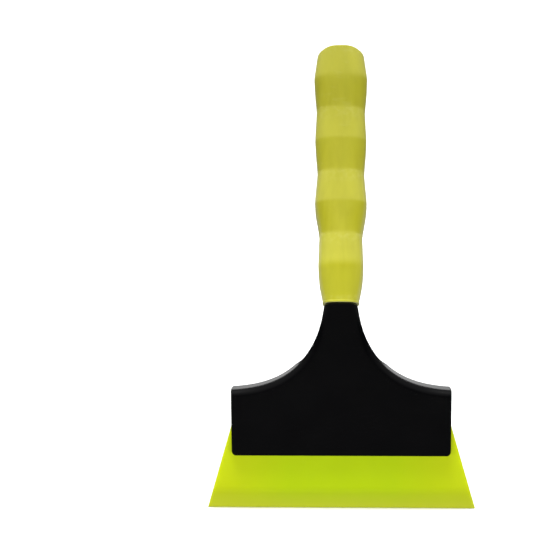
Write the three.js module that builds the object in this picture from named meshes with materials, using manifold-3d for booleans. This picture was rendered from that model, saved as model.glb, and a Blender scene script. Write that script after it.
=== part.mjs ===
// Windshield ice scraper: a flared elastomer blade held in the open-ended channel of a two-shell
// head, whose neck runs up into a hollow core under a ribbed soft grip.
// Millimetres. +Z up, +Y to the back, +X along the working edge.
// Origin: middle of the blade's working edge.
import * as THREE from 'three';
import { mergeVertices } from 'three/addons/utils/BufferGeometryUtils.js';
import Module from 'manifold-3d';

const wasm = await Module();
wasm.setup();

const degrees = THREE.MathUtils.degToRad;

// ---- Driving dimensions -------------------------------------------------------------------
// Depths (y) are measured from the flat front face of the head; the whole model is moved so
// that y = 0 falls on the working edge, by EDGE_DEPTH.

// Blade
const EDGE_WIDTH = 150;
const BLADE_FLARE = Math.tan(degrees(16));
const BLADE_FRONT = 4.2;
const BLADE_THICKNESS = 5;
const BEVEL_HEIGHT = 11.5;
const EDGE_LAND = 0.8;
const ROOT_STEP = 0.7;
const ROOT_BOTTOM = 57.6;
const ROOT_TOP = 63.7;

// Head
const HEAD_HALF_WIDTH = 60.7;
const HEAD_DEPTH = 12.4;
const HEAD_BOTTOM = 33;
const SHOULDER_CENTRE = { x: 72.8, z: 140.9 };
const SHOULDER_RADII = { x: 64.6, z: 70.8 };
const SHOULDER_POWER = 2.785;
const SHOULDER_FILLET = 3.6;
const SMALLEST_ROUND = 0.3;
const BACK_ROUND = { shoulder: 1.6, neck: 3.4 };
const BACK_DRAFT = { shoulder: 0.1, neck: 1.6 };
const BACK_CHANGE = { from: 0.64, to: 0.74 };
const EDGE_ROUND = 1.2;
const END_RIM = { inset: 2.2, depth: 8 };
const BOTTOM_CORNER = { front: 1.6, back: 3.2 };
const WALL = 2.6;
const CHANNEL_PLAY = 0.2;
const CAVITY_FLOOR = 67;
const CAVITY_CEILING = 118.2;
const CAVITY_HALF_WIDTH = 50;
const NECK_RIB = { halfWidth: 0.6, overlap: 1.2, from: 97, to: 128 };

// Neck
const NECK_START = { front: 90, back: 74 };
const NECK_PUSH = 4.6;
const NECK_SWELL = 10.8;
const NECK_SPAN = { front: 32, back: 39 };
const NECK_POWER = { front: 2, back: 1.7 };

// Seam between neck and grip, a plane that falls towards the back
const SEAM = { y: -4.6, z: 122.2 };
const SEAM_FALL = degrees(20);
const SEAM_GAP = 0.3;

// Parting surface between the two shells
const PARTING = 4;
const PARTING_GAP = 0.2;
const PARTING_BEND = { from: 104, to: 124 };

// Grip
const LEAN = degrees(11.3);
const RING_FALL = degrees(26);
const GRIP_ORIGIN = { y: -11, z: 122 };
const GRIP_DEPTH = 38.5;
const CORNER_RADIUS = 10.5;
const FIRST_RIDGE = 23.3;
const RING_STEP = 16.8;
const RING_HALF_WIDTHS = [12.3, 11.7, 14, 12.6, 13.8, 13, 14.3];
const FRONT_WAVE = 0.6;
const BACK_WAVE = 1;
const SLEEVE_FOOT = { front: { y: -5.6, z: 122.6 }, back: { y: 24.2, z: 111.8 }, halfWidth: 9.6 };
const FOOT_OVERRUN = 4;
const SLEEVE_WALL = 3.2;
const FOOT_WALL = 2.4;

// Slanted end of the grip and its plug
const END = { y: 17.5, z: 258.7, halfWidth: 12.4, halfLength: 21.25 };
const END_FALL = degrees(43.5);
const RIM_ROUND = 2;
const PLUG = { halfWidth: 9.2, halfLength: 12.6, shift: 4.2, seat: 1.8, proud: 1.2 };
const PLUG_CROWN = [
  { rise: 0, inset: 0 },
  { rise: 0.6, inset: 0.5 },
  { rise: 0.9, inset: 1.6 },
  { rise: 1, inset: 3.2 },
];
const STEM = { halfWidth: 5.8, halfLength: 7.4, length: 24 };
const PLUG_PLAY = 0.3;

// Core of the handle
const CORE_WALL = 2.4;
const CORE_HALF_WIDTH = 12.4;
const CORE_START = -5;
const CORE_END = 115;
const CORE_OVERRUN = { bottom: 2, top: 6 };
const NECK_TAPER = { front: { y: -0.45, z: 1 }, back: { y: 0.9, z: 1 } };
const SLEEVE_PLAY = 0.3;

// Screws: pan heads driven from the back
const SCREW = { radius: 1.5, headRadius: 2.9, headHeight: 2, tip: 1.2, pitch: 1.6 };
const DRIVE_CROSS = { reach: 1.8, width: 0.8, depth: 0.9 };
const SCREW_PLAY = 0.2;
const HEAD_SCREWS = [
  { name: 'head_screw_lower_left', x: -33, z: 69.6 },
  { name: 'head_screw_lower_right', x: 33, z: 69.6 },
  { name: 'head_screw_upper_left', x: -13, z: 87 },
  { name: 'head_screw_upper_right', x: 13, z: 87 },
];
const HEAD_SCREW_SEAT = 9.6;
const HEAD_SCREW_LENGTH = 6.4;
const CORE_SCREWS = [
  { name: 'core_screw_lower', z: 150 },
  { name: 'core_screw_upper', z: 196 },
];
const CORE_SCREW_LENGTH = 13;
const CORE_SEAT_OFFSET = 5;
const BOSS_RADIUS = 3.4;
const POST_RADIUS = 4.4;
const SEAT_FLOOR = 1.5;

const EDGE_DEPTH = BLADE_FRONT + BLADE_THICKNESS - EDGE_LAND / 2;

// Further than any part of the head reaches, for cutting bodies
const FAR = 80;

// ---- Solids -------------------------------------------------------------------------------

function toSolid(geometry) {
  const bare = geometry.clone();
  bare.deleteAttribute('normal');
  bare.deleteAttribute('uv');
  const merged = mergeVertices(bare, 1e-5);
  return new wasm.Manifold(
    new wasm.Mesh({
      numProp: 3,
      vertProperties: new Float32Array(merged.attributes.position.array),
      triVerts: new Uint32Array(merged.index.array),
    }),
  );
}

function toGeometry(solid) {
  const mesh = solid.getMesh();
  const geometry = new THREE.BufferGeometry();
  geometry.setAttribute('position', new THREE.BufferAttribute(mesh.vertProperties, 3));
  geometry.setIndex(new THREE.BufferAttribute(mesh.triVerts, 1));
  geometry.computeVertexNormals();
  return geometry;
}

const AXIS = {
  x: new THREE.Vector3(1, 0, 0),
  y: new THREE.Vector3(0, 1, 0),
  z: new THREE.Vector3(0, 0, 1),
};

// A front-view shape (x, z) given depth from y = from to y = to, with rounded rims.
function frontExtrusion(shape, from, to, rim = 0, rimDepth = rim) {
  const geometry = new THREE.ExtrudeGeometry(shape, {
    depth: to - from - 2 * rimDepth,
    curveSegments: 6,
    bevelEnabled: rim > 0,
    bevelThickness: rimDepth,
    bevelSize: rim,
    bevelOffset: -rim,
    bevelSegments: 4,
  });
  const turn = new THREE.Matrix4().makeBasis(AXIS.x, AXIS.z, AXIS.y.clone().negate());
  return geometry.applyMatrix4(turn).translate(0, to - rimDepth, 0);
}

// A side-view shape (y, z) given width from x = -halfWidth to x = halfWidth.
function sideExtrusion(shape, halfWidth) {
  const geometry = new THREE.ExtrudeGeometry(shape, {
    depth: 2 * halfWidth,
    curveSegments: 12,
    bevelEnabled: false,
  });
  const turn = new THREE.Matrix4().makeBasis(AXIS.y, AXIS.z, AXIS.x);
  return geometry.applyMatrix4(turn).translate(-halfWidth, 0, 0);
}

function polygon(points) {
  return new THREE.Shape(points.map(([across, up]) => new THREE.Vector2(across, up)));
}

function box(x0, x1, y0, y1, z0, z1) {
  const geometry = new THREE.BoxGeometry(x1 - x0, y1 - y0, z1 - z0);
  return toSolid(geometry.translate((x0 + x1) / 2, (y0 + y1) / 2, (z0 + z1) / 2));
}

// A round bar along y.
function barAlongY(x, z, radius, y0, y1) {
  const geometry = new THREE.CylinderGeometry(radius, radius, y1 - y0, 18);
  return toSolid(geometry.translate(x, (y0 + y1) / 2, z));
}

// A closed body through rings of points, each ring counter-clockwise seen from the far end.
// The two end faces are fans around the middles of the first and last rings.
function loft(rings) {
  const count = rings[0].length;
  const last = (rings.length - 1) * count;
  const points = [...rings.flat(), middleOf(rings[0]), middleOf(rings.at(-1))];
  const startHub = points.length - 2;
  const endHub = points.length - 1;
  const index = [];
  for (let j = 0; j < count; j += 1) {
    const next = (j + 1) % count;
    for (let row = 0; row < last; row += count) {
      const [a, b] = [row + j, row + next];
      index.push(a, b, b + count, a, b + count, a + count);
    }
    index.push(startHub, next, j);
    index.push(endHub, last + j, last + next);
  }
  const geometry = new THREE.BufferGeometry().setFromPoints(points);
  geometry.setIndex(index);
  return toSolid(geometry);
}

function middleOf(points) {
  const middle = new THREE.Vector3();
  for (const point of points) {
    middle.addScaledVector(point, 1 / points.length);
  }
  return middle;
}

// A rounded-rectangle ring in the plane through two side-profile points, parallel to x.
function ring({ front, back, halfWidth, radius = CORNER_RADIUS }, cornerSteps = 7) {
  const across = new THREE.Vector3(0, back.y - front.y, back.z - front.z);
  const halfDepth = across.length() / 2;
  across.normalize();
  const shortestFlat = 0.1;
  const corner = Math.min(radius, halfWidth - shortestFlat, halfDepth - shortestFlat);
  const centre = new THREE.Vector3(0, (front.y + back.y) / 2, (front.z + back.z) / 2);
  const points = [];
  for (let quarter = 0; quarter < 4; quarter += 1) {
    const sideX = quarter === 0 || quarter === 3 ? 1 : -1;
    const sideD = quarter < 2 ? 1 : -1;
    for (let step = 0; step <= cornerSteps; step += 1) {
      const angle = (quarter + step / cornerSteps) * (Math.PI / 2);
      const x = sideX * (halfWidth - corner) + corner * Math.cos(angle);
      const depth = sideD * (halfDepth - corner) + corner * Math.sin(angle);
      points.push(centre.clone().addScaledVector(across, depth).setX(x));
    }
  }
  return points;
}

// ---- Blade --------------------------------------------------------------------------------

function bladeSolid() {
  const front = BLADE_FRONT;
  const back = BLADE_FRONT + BLADE_THICKNESS;
  const profile = polygon([
    [back, 0],
    [back, ROOT_BOTTOM - ROOT_STEP],
    [back + ROOT_STEP, ROOT_BOTTOM],
    [back + ROOT_STEP, ROOT_TOP],
    [front - ROOT_STEP, ROOT_TOP],
    [front - ROOT_STEP, ROOT_BOTTOM],
    [front, ROOT_BOTTOM - ROOT_STEP],
    [front, BEVEL_HEIGHT],
    [back - EDGE_LAND, 0],
  ]);
  const halfEdge = EDGE_WIDTH / 2;
  const sheet = toSolid(sideExtrusion(profile, halfEdge));
  const narrow = halfEdge - ROOT_TOP * BLADE_FLARE;
  const outline = polygon([
    [-halfEdge, 0],
    [halfEdge, 0],
    [narrow, ROOT_TOP],
    [-narrow, ROOT_TOP],
  ]);
  return sheet.intersect(toSolid(frontExtrusion(outline, -FAR, FAR)));
}

// The space that the blade slides in, open at the bottom and at both ends.
function channelSolid() {
  const front = BLADE_FRONT - CHANNEL_PLAY;
  const back = BLADE_FRONT + BLADE_THICKNESS + CHANNEL_PLAY;
  const bottom = ROOT_BOTTOM - CHANNEL_PLAY;
  const top = ROOT_TOP + CHANNEL_PLAY;
  const profile = polygon([
    [back, 0],
    [back, bottom - ROOT_STEP],
    [back + ROOT_STEP, bottom],
    [back + ROOT_STEP, top],
    [front - ROOT_STEP, top],
    [front - ROOT_STEP, bottom],
    [front, bottom - ROOT_STEP],
    [front, 0],
  ]);
  return toSolid(sideExtrusion(profile, FAR));
}

// ---- Head and neck ------------------------------------------------------------------------

// 0 below the start of the neck, 1 a span above it, and rising smoothly on.
function neckRise(z, side) {
  const t = Math.max(0, (z - NECK_START[side]) / NECK_SPAN[side]);
  return t ** NECK_POWER[side];
}

const neckFront = (z) => -NECK_PUSH * neckRise(z, 'front');
const neckBack = (z) => HEAD_DEPTH + NECK_SWELL * neckRise(z, 'back');

// The shoulder's line in front view, a superellipse, and the direction from it into the head:
// it is level at turn 0 and would be upright after a quarter turn.
function shoulderLine(turn) {
  const { x: rx, z: rz } = SHOULDER_RADII;
  const across = Math.max(0, Math.sin(turn)) ** (2 / SHOULDER_POWER);
  const up = Math.max(0, Math.cos(turn)) ** (2 / SHOULDER_POWER);
  const slope = SHOULDER_POWER - 1;
  return {
    x: SHOULDER_CENTRE.x - rx * across,
    z: SHOULDER_CENTRE.z - rz * up,
    inward: new THREE.Vector2(-(across ** slope) / rx, -(up ** slope) / rz).normalize(),
  };
}

// A quarter round as { inset, depth } pairs, from the face (a full inset) to the side.
function quarterRound(radius) {
  const steps = 4;
  return Array.from({ length: steps + 1 }, (_, i) => {
    const angle = (i / steps) * (Math.PI / 2);
    return { inset: radius * (1 - Math.sin(angle)), depth: radius * (1 - Math.cos(angle)) };
  });
}

// One closed section of the head across the shoulder line, drawn in by wall on every side.
function shoulderRing(turn, wall) {
  const line = shoulderLine(turn);
  const neckShare = THREE.MathUtils.smoothstep(Math.sin(turn), BACK_CHANGE.from, BACK_CHANGE.to);
  const backRound = THREE.MathUtils.lerp(BACK_ROUND.shoulder, BACK_ROUND.neck, neckShare);
  const fullDraft = THREE.MathUtils.lerp(BACK_DRAFT.shoulder, BACK_DRAFT.neck, neckShare);
  const place = ({ inset, depth }) => {
    const draft = fullDraft * Math.max(0, (depth - PARTING) / HEAD_DEPTH);
    const drawn = wall + inset + draft;
    const z = line.z + line.inward.y * drawn;
    const y = THREE.MathUtils.lerp(neckFront(z), neckBack(z), depth / HEAD_DEPTH);
    return new THREE.Vector3(line.x + line.inward.x * drawn, y, z);
  };
  const front = quarterRound(Math.max(SMALLEST_ROUND, SHOULDER_FILLET - wall));
  const back = quarterRound(Math.max(SMALLEST_ROUND, backRound - wall)).reverse();
  const right = [
    ...front.map(({ inset, depth }) => place({ inset, depth: wall + depth })),
    ...back.map(({ inset, depth }) => place({ inset, depth: HEAD_DEPTH - wall - depth })),
  ];
  const left = right.map((point) => point.clone().setX(-point.x)).reverse();
  return [...right, ...left];
}

// The shoulders and neck from z = floor up, out to x = reach.
function shoulderLoft(reach, floor, wall) {
  const across = Math.max(0, (SHOULDER_CENTRE.x - reach) / SHOULDER_RADII.x);
  const start = Math.asin(across ** (SHOULDER_POWER / 2));
  const steps = 22;
  const rings = [];
  for (let i = 0; i <= steps; i += 1) {
    rings.push(shoulderRing(THREE.MathUtils.lerp(start, Math.PI / 2, i / steps), wall));
  }
  rings.unshift(rings[0].map((point) => point.clone().setZ(floor)));
  return loft(rings);
}

// The head's ends and bottom in front view, with rounded bottom corners.
function lowerOutline(corner) {
  const x = HEAD_HALF_WIDTH - corner;
  const z = HEAD_BOTTOM + corner;
  const top = NECK_START.back;
  const shape = new THREE.Shape();
  shape.moveTo(HEAD_HALF_WIDTH, top);
  shape.lineTo(-HEAD_HALF_WIDTH, top);
  shape.absarc(-x, z, corner, Math.PI, 1.5 * Math.PI);
  shape.absarc(x, z, corner, 1.5 * Math.PI, 2 * Math.PI);
  return shape;
}

// Everything inside the head's ends and bottom, whose edges are sharper in front than behind.
function sideLimits() {
  const frontShape = lowerOutline(BOTTOM_CORNER.front);
  const backShape = lowerOutline(BOTTOM_CORNER.back);
  const frontEdges = toSolid(frontExtrusion(frontShape, 0, 2 * HEAD_DEPTH, EDGE_ROUND));
  const { inset, depth } = END_RIM;
  const backEdges = toSolid(frontExtrusion(backShape, -HEAD_DEPTH, HEAD_DEPTH, inset, depth));
  const w = HEAD_HALF_WIDTH;
  const above = box(-w, w, -FAR, FAR, NECK_START.back - inset, 2 * FAR);
  return frontEdges.intersect(backEdges).add(above);
}

// The half-space above the seam plane, raised by lift.
function aboveSeam(lift) {
  const geometry = new THREE.BoxGeometry(2 * FAR, 4 * FAR, 2 * FAR);
  geometry.translate(0, 0, FAR + lift);
  geometry.rotateX(-SEAM_FALL);
  return toSolid(geometry.translate(0, SEAM.y, SEAM.z));
}

function headBody() {
  const floor = CAVITY_FLOOR - 1;
  const overlap = 0.2;
  const w = HEAD_HALF_WIDTH;
  const lower = box(-w, w, 0, HEAD_DEPTH, HEAD_BOTTOM, floor + overlap);
  const widest = SHOULDER_CENTRE.x;
  const body = shoulderLoft(widest, floor, 0).add(lower).intersect(sideLimits());
  return body.subtract(aboveSeam(0));
}

function headCavity() {
  const space = shoulderLoft(CAVITY_HALF_WIDTH, CAVITY_FLOOR, WALL);
  return space.subtract(box(-FAR, FAR, -FAR, FAR, CAVITY_CEILING, 2 * FAR));
}

// ---- Grip ---------------------------------------------------------------------------------

const lerpPoint = (a, b, t) => ({
  y: THREE.MathUtils.lerp(a.y, b.y, t),
  z: THREE.MathUtils.lerp(a.z, b.z, t),
});

const movePoint = (point, direction, distance) => ({
  y: point.y + direction.y * distance,
  z: point.z + direction.z * distance,
});

const ALONG = { y: Math.sin(LEAN), z: Math.cos(LEAN) };
const ACROSS = { y: Math.cos(RING_FALL), z: -Math.sin(RING_FALL) };
const LAST_RIDGE = FIRST_RIDGE + RING_STEP * (RING_HALF_WIDTHS.length - 1);

// +1 on a ridge, -1 in a valley, straight between them.
function wave(s) {
  const phase = Math.abs((s - FIRST_RIDGE) / RING_STEP) % 2;
  return 1 - 2 * (phase < 1 ? phase : 2 - phase);
}

function ringHalfWidth(s) {
  const position = (s - FIRST_RIDGE) / RING_STEP;
  const index = Math.min(Math.floor(position), RING_HALF_WIDTHS.length - 2);
  const [below, above] = RING_HALF_WIDTHS.slice(index, index + 2);
  return THREE.MathUtils.lerp(below, above, position - index);
}

// Outer section of the ribbed stretch, s along the handle.
function ribbedStation(s) {
  const front = movePoint(GRIP_ORIGIN, ALONG, s);
  return {
    front: movePoint(front, ACROSS, -FRONT_WAVE * wave(s)),
    back: movePoint(front, ACROSS, GRIP_DEPTH + BACK_WAVE * (wave(s) - 1)),
    halfWidth: ringHalfWidth(s),
  };
}

// Outer section between the seam (t = 0) and the first ridge (t = 1).
function footStation(t) {
  const ridge = ribbedStation(FIRST_RIDGE);
  const ease = Math.sin((t * Math.PI) / 2);
  const front = lerpPoint(SLEEVE_FOOT.front, ridge.front, t);
  const back = lerpPoint(SLEEVE_FOOT.back, ridge.back, t);
  return {
    front: { y: THREE.MathUtils.lerp(SLEEVE_FOOT.front.y, ridge.front.y, ease), z: front.z },
    back: { y: THREE.MathUtils.lerp(SLEEVE_FOOT.back.y, ridge.back.y, ease), z: back.z },
    halfWidth: THREE.MathUtils.lerp(SLEEVE_FOOT.halfWidth, ridge.halfWidth, ease),
  };
}

const END_NORMAL = { y: Math.sin(END_FALL), z: Math.cos(END_FALL) };
const END_ACROSS = { y: Math.cos(END_FALL), z: -Math.sin(END_FALL) };
const END_MIDDLE = movePoint(END, END_ACROSS, END.halfLength);

// Slides a ring's points along the handle by a share of their way to the slanted end plane.
function slideToEnd(points, share, lift = 0) {
  const rate = ALONG.y * END_NORMAL.y + ALONG.z * END_NORMAL.z;
  return points.map((point) => {
    const gap = (END.y - point.y) * END_NORMAL.y + (END.z - point.z) * END_NORMAL.z + lift;
    const travel = (share * gap) / rate;
    return new THREE.Vector3(point.x, point.y + ALONG.y * travel, point.z + ALONG.z * travel);
  });
}

// Ring between the last ridge (t = 0) and the slanted end (t = 1), drawn in by inset.
function noseRing(t, inset = 0, lift = 0) {
  const ridge = ribbedStation(LAST_RIDGE);
  const halfWidth = THREE.MathUtils.lerp(ridge.halfWidth, END.halfWidth, t) - inset;
  const station = {
    front: movePoint(ridge.front, ACROSS, inset + FRONT_WAVE * t),
    back: movePoint(ridge.back, ACROSS, -inset),
    halfWidth,
    radius: CORNER_RADIUS - inset,
  };
  return slideToEnd(ring(station), t, lift);
}

// Rings from below the seam, over the ribs, to the last ridge.
function ribbedRings() {
  const foot = footStation(0);
  const below = {
    ...foot,
    front: movePoint(foot.front, ALONG, -FOOT_OVERRUN),
    back: movePoint(foot.back, ALONG, -FOOT_OVERRUN),
  };
  const footSteps = 5;
  const stepsPerFacet = 3;
  const ribSteps = (RING_HALF_WIDTHS.length - 1) * stepsPerFacet;
  const stations = [below];
  for (let i = 0; i < footSteps; i += 1) {
    stations.push(footStation(i / footSteps));
  }
  for (let i = 0; i <= ribSteps; i += 1) {
    stations.push(ribbedStation(FIRST_RIDGE + (RING_STEP * i) / stepsPerFacet));
  }
  return stations.map((station) => ring(station));
}

// Rings from the last ridge to the slanted end, and over its rounded rim.
function noseRings() {
  const sides = [0.3, 0.6, 0.85].map((t) => noseRing(t));
  const rim = [0, 30, 60, 90].map((angle) => {
    const [sin, cos] = [Math.sin(degrees(angle)), Math.cos(degrees(angle))];
    return noseRing(1, RIM_ROUND * (1 - cos), RIM_ROUND * (sin - 1));
  });
  return [...sides, ...rim];
}

function sleeveOuter() {
  return loft([...ribbedRings(), ...noseRings()]);
}

// Outer line of the grip without its ribs, as the core follows it: straight above the first
// ridge, and narrowing below it to the foot and on into the neck.
function smoothStation(s) {
  const foot = footStation(0);
  const t = THREE.MathUtils.clamp(s / FIRST_RIDGE, 0, 1);
  const direction = s < 0 ? NECK_TAPER : { front: ALONG, back: ALONG };
  const front = movePoint(GRIP_ORIGIN, ALONG, s);
  const back = movePoint(front, ACROSS, GRIP_DEPTH - BACK_WAVE);
  return {
    t,
    front: lerpPoint(movePoint(foot.front, direction.front, s), front, t),
    back: lerpPoint(movePoint(foot.back, direction.back, s), back, t),
  };
}

// Section of the core, drawn in from the sleeve's bore by wall.
function coreStation(s, wall) {
  const { t, front, back } = smoothStation(s);
  const inset = wall + THREE.MathUtils.lerp(FOOT_WALL, SLEEVE_WALL + FRONT_WAVE, t);
  const ease = Math.sin((t * Math.PI) / 2);
  return {
    front: movePoint(front, ACROSS, inset),
    back: movePoint(back, ACROSS, -inset),
    halfWidth: THREE.MathUtils.lerp(SLEEVE_FOOT.halfWidth, CORE_HALF_WIDTH, ease) - inset,
    radius: CORNER_RADIUS - SLEEVE_WALL - wall,
  };
}

function coreLoft(from, to, wall) {
  const steps = 10;
  const rings = [];
  for (let i = 0; i <= steps; i += 1) {
    rings.push(ring(coreStation(THREE.MathUtils.lerp(from, to, i / steps), wall), 4));
  }
  return loft(rings);
}

// Stem of the plug, a straight oval bar that runs down the handle from the slanted end.
function stemLoft(grow) {
  const top = movePoint(END_MIDDLE, END_NORMAL, -PLUG.seat / 2);
  const rings = [STEM.length + grow, -grow].map((down) => {
    const centre = movePoint(top, ALONG, -down);
    return ring({
      front: movePoint(centre, END_ACROSS, -STEM.halfLength - grow),
      back: movePoint(centre, END_ACROSS, STEM.halfLength + grow),
      halfWidth: STEM.halfWidth + grow,
    });
  });
  return loft(rings);
}

function plugSection(lift, inset) {
  const centre = movePoint(movePoint(END_MIDDLE, END_ACROSS, PLUG.shift), END_NORMAL, lift);
  return ring({
    front: movePoint(centre, END_ACROSS, inset - PLUG.halfLength),
    back: movePoint(centre, END_ACROSS, PLUG.halfLength - inset),
    halfWidth: PLUG.halfWidth - inset,
  });
}

function plugFlange() {
  const crown = PLUG_CROWN.map(({ rise, inset }) => plugSection(PLUG.proud * rise, inset));
  return loft([plugSection(-PLUG.seat, 0), ...crown]);
}

// The recess for the plug's flange in the slanted end, open upwards.
function plugSeat() {
  const clear = 10;
  return loft([
    plugSection(-PLUG.seat - PLUG_PLAY, -PLUG_PLAY),
    plugSection(clear, -PLUG_PLAY),
  ]);
}

function gripSleeve() {
  return sleeveOuter()
    .intersect(aboveSeam(SEAM_GAP))
    .subtract(coreLoft(CORE_START, CORE_END + SLEEVE_PLAY, -SLEEVE_PLAY))
    .subtract(stemLoft(PLUG_PLAY))
    .subtract(plugSeat());
}

function endPlug() {
  return plugFlange().add(stemLoft(0));
}

// ---- Screws and their bosses --------------------------------------------------------------

// Everything in front of the parting surface, moved back by shift.
function inFrontOfParting(shift) {
  const rise = Math.tan(LEAN);
  const y = PARTING + shift;
  const { from, to } = PARTING_BEND;
  const bendMiddle = (from + to) / 2;
  const top = 4 * FAR;
  const shape = new THREE.Shape();
  shape.moveTo(-FAR, -FAR);
  shape.lineTo(y, -FAR);
  shape.lineTo(y, from);
  shape.quadraticCurveTo(y, bendMiddle, y + (to - bendMiddle) * rise, to);
  shape.lineTo(y + (top - bendMiddle) * rise, top);
  shape.lineTo(-FAR, top);
  shape.closePath();
  return toSolid(sideExtrusion(shape, 2 * FAR));
}

const partingAt = (z) => PARTING + (z - (PARTING_BEND.from + PARTING_BEND.to) / 2) * Math.tan(LEAN);

// Half outline of a screw as { radius, height } over its seat, from its tip to its crown. The
// thread is a row of ridges.
function screwProfile(length) {
  const { radius, headRadius, headHeight, tip, pitch } = SCREW;
  const root = radius * 0.8;
  const points = [
    [0, -length],
    [root, tip - length],
  ];
  for (let start = tip - length; start + pitch < -tip; start += pitch) {
    points.push([radius, start + pitch / 2]);
    points.push([root, start + pitch]);
  }
  points.push([root, 0]);
  points.push([headRadius, 0]);
  points.push([headRadius, headHeight * 0.5]);
  points.push([headRadius * 0.75, headHeight * 0.9]);
  points.push([headRadius * 0.4, headHeight]);
  points.push([0, headHeight]);
  return points.map(([r, height]) => new THREE.Vector2(r, height));
}

// Pan-head self-tapping screw along y: its seat at y = seat, its tip towards the front.
function screwSolid({ x, z, seat, length }) {
  const body = toSolid(new THREE.LatheGeometry(screwProfile(length), 16));
  const { reach, width, depth } = DRIVE_CROSS;
  const half = width / 2;
  const floor = SCREW.headHeight - depth;
  const above = SCREW.headHeight + 1;
  const slot = box(-reach, reach, floor, above, -half, half);
  const crossSlot = box(-half, half, floor, above, -reach, reach);
  return body.subtract(slot.add(crossSlot)).translate([x, seat, z]);
}

const headScrews = HEAD_SCREWS.map((screw) => ({
  ...screw,
  seat: HEAD_SCREW_SEAT,
  length: HEAD_SCREW_LENGTH,
  bossTop: HEAD_SCREW_SEAT - SEAT_FLOOR,
}));

const coreScrews = CORE_SCREWS.map((screw) => {
  const parting = partingAt(screw.z);
  return {
    ...screw,
    x: 0,
    seat: parting + CORE_SEAT_OFFSET,
    length: CORE_SCREW_LENGTH,
    bossTop: parting,
  };
});

const allScrews = [...headScrews, ...coreScrews];

// Room for one screw: its shank, and its head with the driver's way in from the back.
function screwRoom({ x, z, seat, length }) {
  const tip = seat - length - SCREW_PLAY;
  const shank = barAlongY(x, z, SCREW.radius + SCREW_PLAY, tip, seat + 1);
  return shank.add(barAlongY(x, z, SCREW.headRadius + SCREW_PLAY, seat, FAR));
}

// Screw boss that stands up from the front shell's inside to the back shell's post.
function bossFor({ x, z, bossTop }) {
  return barAlongY(x, z, BOSS_RADIUS, -FAR, bossTop - PARTING_GAP / 2);
}

// Post under a screw's head that reaches in from the back shell's wall.
function postFor({ x, z, bossTop }) {
  return barAlongY(x, z, POST_RADIUS, bossTop + PARTING_GAP / 2, FAR);
}

const joined = (solids) => solids.reduce((sum, solid) => sum.add(solid));

// ---- Shells -------------------------------------------------------------------------------

// Upright rib in the middle of the front shell's neck that reaches past the parting surface.
function neckRib() {
  const { halfWidth, overlap, from, to } = NECK_RIB;
  return box(-halfWidth, halfWidth, -FAR, FAR, from, to).intersect(inFrontOfParting(overlap));
}

function shells() {
  const { bottom, top } = CORE_OVERRUN;
  const blank = headBody().add(coreLoft(CORE_START, CORE_END, 0));
  const space = headCavity().add(coreLoft(CORE_START - bottom, CORE_END + top, CORE_WALL));
  const rib = neckRib();
  const bosses = joined(allScrews.map(bossFor)).intersect(blank);
  const posts = joined(allScrews.map(postFor)).intersect(blank);
  const rooms = joined([channelSolid(), ...allScrews.map(screwRoom)]);
  const frontSide = inFrontOfParting(-PARTING_GAP / 2).add(rib);
  const notBackSide = inFrontOfParting(PARTING_GAP / 2);
  const frontWalls = blank.subtract(space.subtract(rib)).intersect(frontSide);
  const backWalls = blank.subtract(space).subtract(notBackSide);
  return {
    frontShell: frontWalls.add(bosses).subtract(rooms),
    backShell: backWalls.subtract(bosses).add(posts).subtract(rooms),
  };
}

// ---- Assembly -----------------------------------------------------------------------------

const scraper = new THREE.Group();
scraper.position.y = -EDGE_DEPTH;

function addPiece(name, solid, color, roughness, metalness = 0) {
  const material = new THREE.MeshStandardMaterial({ color, roughness, metalness });
  const mesh = new THREE.Mesh(toGeometry(solid), material);
  mesh.name = name;
  scraper.add(mesh);
}

const { frontShell, backShell } = shells();
addPiece('blade', bladeSolid(), 0xb8d61a, 0.35);
addPiece('front_shell', frontShell, 0x0e0e10, 0.25);
addPiece('back_shell', backShell, 0x0e0e10, 0.25);
addPiece('grip_sleeve', gripSleeve(), 0xbebe3c, 0.8);
addPiece('end_plug', endPlug(), 0x101010, 0.4);
for (const screw of allScrews) {
  addPiece(screw.name, screwSolid(screw), 0x9a9a98, 0.35, 1);
}

export default scraper;
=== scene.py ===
"""Looks of the windshield ice scraper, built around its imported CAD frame.

Shapes are worked out in millimetres in the head's own frame, where y = 0 is the flat front
face, and are moved and scaled into the CAD frame when each mesh is made.
"""

import math

import bmesh
import bpy
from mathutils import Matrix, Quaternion, Vector


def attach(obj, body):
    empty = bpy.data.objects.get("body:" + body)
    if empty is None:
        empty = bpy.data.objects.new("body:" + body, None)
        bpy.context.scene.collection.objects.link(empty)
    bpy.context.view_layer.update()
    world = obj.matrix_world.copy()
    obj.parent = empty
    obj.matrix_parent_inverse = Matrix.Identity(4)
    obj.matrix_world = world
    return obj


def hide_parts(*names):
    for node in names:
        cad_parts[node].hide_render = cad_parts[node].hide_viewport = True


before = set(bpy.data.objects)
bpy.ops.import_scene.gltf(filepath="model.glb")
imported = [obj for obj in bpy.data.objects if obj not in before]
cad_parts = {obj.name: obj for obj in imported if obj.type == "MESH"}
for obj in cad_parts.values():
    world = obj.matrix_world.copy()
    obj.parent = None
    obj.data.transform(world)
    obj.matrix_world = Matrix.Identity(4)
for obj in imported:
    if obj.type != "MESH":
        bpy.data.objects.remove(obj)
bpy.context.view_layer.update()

# ---- Driving dimensions, in millimetres ----

MM = 0.001
FAR = 80.0

EDGE_HALF_WIDTH = 75.0
BLADE_FLARE = math.tan(math.radians(16))
BLADE_FRONT, BLADE_BACK = 4.2, 9.2
BEVEL_HEIGHT = 11.5
EDGE_LAND = 0.8
BLADE_ROUND = {"edge": 0.12, "corner": 0.3, "root": 0.2, "bevel": 18.0, "end": 0.35}
ROOT_STEP = 0.7
ROOT_BOTTOM, ROOT_TOP = 57.6, 63.7
EDGE_DEPTH = BLADE_BACK - EDGE_LAND / 2

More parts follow.
